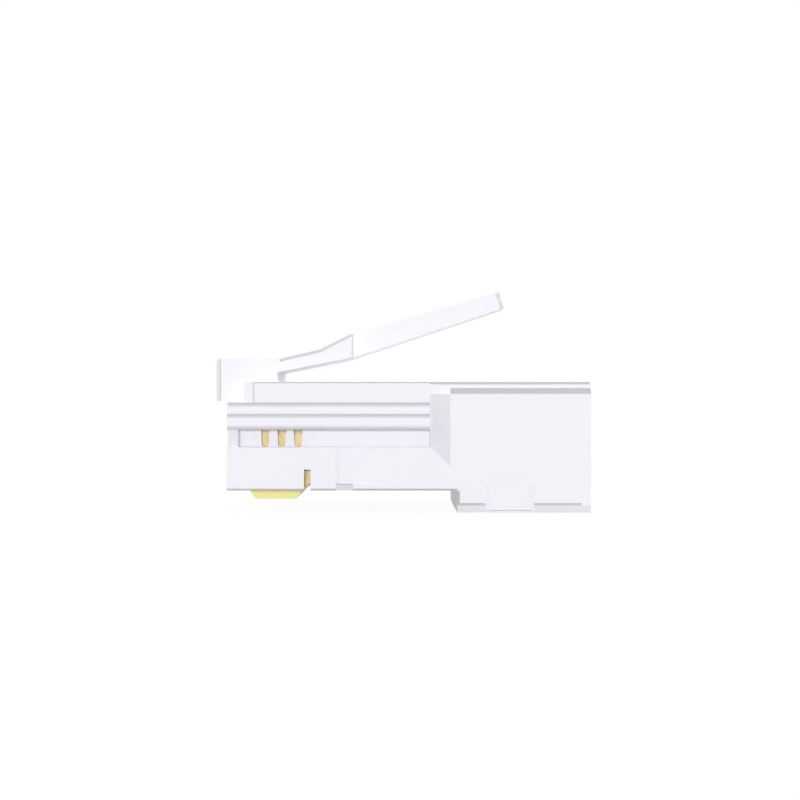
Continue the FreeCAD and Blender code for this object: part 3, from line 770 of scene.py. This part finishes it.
@dataclass
class Housing:
    """The moulded body with its latch root."""

    finish: MouldedPlastic
    upper_face: float

    def build(self) -> None:
        """Dress the moulding and add the marks on its upper face."""
        plastic = self.finish.material()
        dress(frame["nodes"]["housing"], plastic)
        log.info("housing: dressed in %s", self.finish.name)
        PinMarks().build(plastic, self.upper_face)


@dataclass
class Latch:
    """The sprung lever and the hinge that it bends on."""

    finish: MouldedPlastic
    hinge_finish: MouldedPlastic

    def build(self) -> None:
        """Dress the lever and bridge its parting plane."""
        plastic = self.finish.material()
        dress(frame["nodes"]["latch"], plastic)
        log.info("latch: dressed in %s", self.finish.name)
        LivingHinge().build(self.hinge_finish.material())


@dataclass
class ContactRow:
    """The eight blades in their slots."""

    finish: PlatedBronze

    def build(self) -> None:
        """Dress every blade."""
        plated = self.finish.material()
        names = [name for name in frame["nodes"] if name.startswith("contact_")]
        for name in sorted(names):
            dress(frame["nodes"][name], plated)
            log.info("%s: dressed in %s", name, self.finish.name)


# ------------------------------------------------------------------------- studio
@dataclass(frozen=True)
class SoftBox:
    """A square lamp that faces the middle of the object."""

    name: str
    direction: tuple[float, float, float]
    side: float
    level: float
    distance: float = 0.45
    mirrored: bool = True

    def build(self, middle: Vector) -> None:
        """Hang the lamp, which shows in polished surfaces only where it is mirrored.

        Args:
            middle: The point that it faces.
        """
        data = bpy.data.lights.new(self.name, "AREA")
        data.shape = "SQUARE"
        data.size = self.side
        data.energy = self.level * math.pi**2 * self.distance**2
        lamp = bpy.data.objects.new(self.name, data)
        away = Vector(self.direction).normalized()
        turn = away.to_track_quat("Z", "Y").to_matrix().to_4x4()
        lamp.matrix_world = Matrix.Translation(middle + away * self.distance) @ turn
        lamp.visible_camera = False
        lamp.visible_glossy = self.mirrored
        bpy.context.scene.collection.objects.link(lamp)


@dataclass
class Studio:
    """Pale floor, white surroundings, soft lamps and the camera."""

    lamps: tuple[SoftBox, ...]
    surround: float = 0.32
    floor_side: float = 0.6
    camera_distance: float = 0.088
    clip_share: float = 0.01
    camera_lens: float = 60.95
    camera_aim: tuple[float, float] = (-0.030 * MM, -0.025 * MM)

    def build(self) -> None:
        """Set everything up round the object."""
        low, high = cad_box
        middle = (low + high) / 2
        self._surroundings()
        self._floor(low.z)
        for lamp in self.lamps:
            lamp.build(middle)
        self._camera(middle)

    def _surroundings(self) -> None:
        """A world that is white to look at and gives only a little light."""
        world = bpy.data.worlds.new("surroundings")
        bpy.context.scene.world = world
        sheet = NodeSheet(world)
        dim, white = (sheet.node("ShaderNodeBackground", values={"Color": WHITE, "Strength": level})
                      for level in (self.surround, 1.0))
        sheet.finish(sheet.node("ShaderNodeMixShader", values={0: seen(sheet), 1: dim, 2: white}))

    def _floor(self, height: float) -> None:
        """A wide floor at the foot of the object.

        Args:
            height: Where it lies.
        """
        half = self.floor_side / 2
        mesh = bpy.data.meshes.new("floor")
        mesh.from_pydata([(-half, -half, height), (half, -half, height), (half, half, height),
                          (-half, half, height)], [], [(0, 1, 2, 3)])
        floor = add_piece("floor", mesh)
        dress(floor, PaleFloor().material())

    def _camera(self, middle: Vector) -> None:
        """A camera that looks square at the flank of the plug.

        Args:
            middle: Middle of the object.
        """
        data = bpy.data.cameras.new("camera")
        data.lens = self.camera_lens
        data.clip_start = self.camera_distance * self.clip_share
        camera = bpy.data.objects.new("camera", data)
        place = Vector((middle.x + self.camera_aim[0], -self.camera_distance,
                        middle.z + self.camera_aim[1]))
        camera.matrix_world = Matrix.Translation(place) @ Matrix.Rotation(math.pi / 2, 4, "X")
        bpy.context.scene.collection.objects.link(camera)
        bpy.context.scene.camera = camera


def main() -> None:
    """Build the plug's looks and the studio round it."""
    logging.basicConfig(level=logging.INFO, format="%(name)s %(message)s")
    bpy.context.scene.view_settings.view_transform = "Standard"
    nose_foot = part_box("contact_1")[0].z / MM
    upper_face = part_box("housing")[1].z - ROOT_RISE
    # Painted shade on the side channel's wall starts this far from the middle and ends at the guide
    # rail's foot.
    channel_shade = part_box("housing")[1].y / MM - CHANNEL_DEPTH
    rail_foot = upper_face / MM - RAIL_FOOT_DROP
    Housing(MouldedPlastic("housing_plastic", channel_shade_half_width=channel_shade, channel_shade_top=rail_foot),
            upper_face=upper_face).build()
    # The lever's slants take less painted shade than the housing's, and the hinge takes none along its
    # edges.
    Latch(MouldedPlastic("latch_plastic", slant_shade_depth=0.24),
          MouldedPlastic("hinge_plastic", edge_shade_strength=0.0)).build()
    ContactRow(PlatedBronze("contact_gold", plate_top=nose_foot + NOSE_DROP,
                            flash_top=nose_foot + BLADE_HEIGHT)).build()
    lamps = (SoftBox("front_lamp", (0.0, -1.0, 0.07), side=0.06, level=0.60, mirrored=False),
             SoftBox("back_lamp", (0.10, 0.90, 0.50), side=0.30, level=0.49),
             SoftBox("nose_lamp", (-0.94, 0.05, 0.34), side=0.20, level=0.44, mirrored=False),
             SoftBox("cable_lamp", (0.94, 0.05, 0.34), side=0.20, level=0.44, mirrored=False))
    Studio(lamps).build()


if __name__ == "__main__":
    main()
